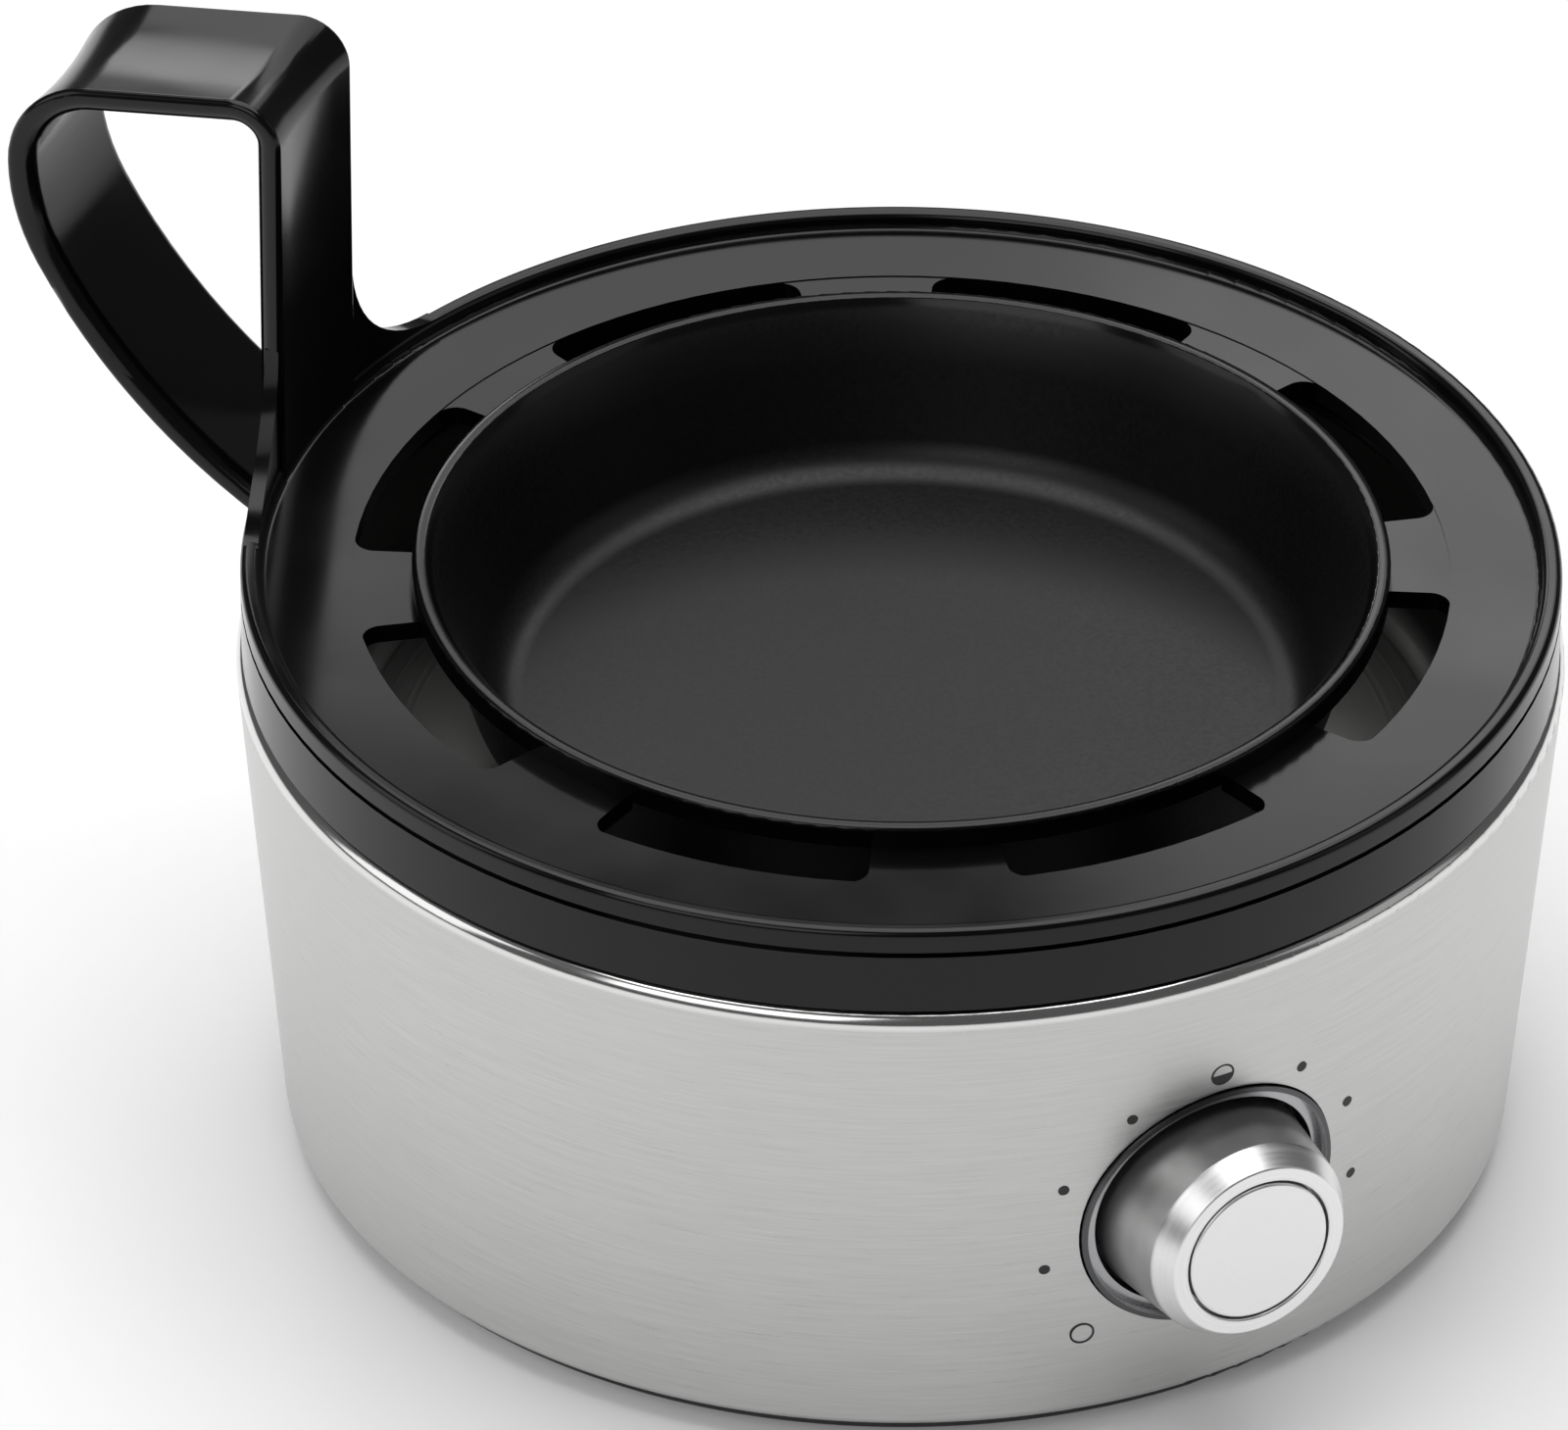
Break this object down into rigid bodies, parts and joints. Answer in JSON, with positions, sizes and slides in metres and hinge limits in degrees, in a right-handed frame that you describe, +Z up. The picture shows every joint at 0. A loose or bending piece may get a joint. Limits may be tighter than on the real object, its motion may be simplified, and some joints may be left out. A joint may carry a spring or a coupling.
{
  "type": "electric egg cooker",
  "caption": "Round steel egg cooker with a front dial and push button, a lift-out black carrier ring with a loop handle, and a drop-in poaching dish over a heated pan.",
  "frame": {"origin": "centre of the foot ring, on the surface that the cooker stands on", "axes": "+Z up along the body's axis, -Y towards the dial, +X to the right seen from the dial's side"},
  "size_m": [0.1614, 0.1831, 0.1296],
  "materials": {
    "brushed_steel": "brushed round the body, with a polished shoulder",
    "black_moulding": "fine moulded texture",
    "rubber": "matt",
    "zinc_steel": "zinc plated",
    "silicone": "translucent grey",
    "pan_steel": "turned satin steel",
    "aluminium": "plain mill finish",
    "element_sheath": "heat darkened",
    "ceramic_white": "unglazed ceramic",
    "bakelite": "dark moulding",
    "smoke_gloss": "dark gloss",
    "board_green": "solder mask",
    "nylon_white": "natural nylon",
    "lead_sleeve": "silicone sleeving",
    "satin_metal": "satin",
    "black_gloss": "high gloss",
    "black_dish": "gloss rim and satin floor"
  },
  "bodies": {
    "base": {"outer_shell": "brushed_steel", "bottom_cover": "black_moulding", "foot_ring": "rubber", "tie_screws": "zinc_steel", "pan_studs": "zinc_steel", "pan_seal": "silicone", "heating_pan": "pan_steel", "heat_spreader": "aluminium", "heating_element": "element_sheath", "pin_bushes": "ceramic_white", "thermostat": "bakelite", "thermal_fuse": "zinc_steel", "fuse_clip": "zinc_steel", "heat_shield": "zinc_steel", "dial_bezel": "smoke_gloss", "dial_control": "bakelite", "control_nut": "zinc_steel", "control_board": "board_green", "board_screws": "zinc_steel", "start_switch": "bakelite", "relay": "bakelite", "capacitor": "aluminium", "buzzer": "bakelite", "board_connector": "nylon_white", "cord_gland": "black_moulding", "gland_nut": "black_moulding", "terminal_block": "nylon_white", "heater_leads": "lead_sleeve", "supply_leads": "lead_sleeve"},
    "dial": {"dial_shaft": "nylon_white", "knob_hub": "nylon_white", "knob": "satin_metal", "return_dome": "silicone"},
    "button": {"button_cap": "satin_metal", "button_stem": "nylon_white"},
    "carrier": {"egg_carrier": "black_gloss"},
    "dish": {"poaching_dish": "black_dish"}
  },
  "joints": [
    {"name": "knob_turn", "type": "hinge", "parent": "base", "child": "dial", "pos_m": [0, -0.07785, 0.0315], "axis": [0, 1, 0], "range_deg": [0, 264]},
    {"name": "button_press", "type": "slide", "parent": "dial", "child": "button", "axis": [0, 1, 0], "range_m": [0, 0.0015], "stiffness_N_per_m": 900, "deforming": ["return_dome"]},
    {"name": "carrier_lift", "type": "slide", "parent": "base", "child": "carrier", "axis": [0, 0, 1], "range_m": [0, 0.09]},
    {"name": "dish_lift", "type": "slide", "parent": "carrier", "child": "dish", "axis": [0, 0, 1], "range_m": [0, 0.06]}
  ]
}
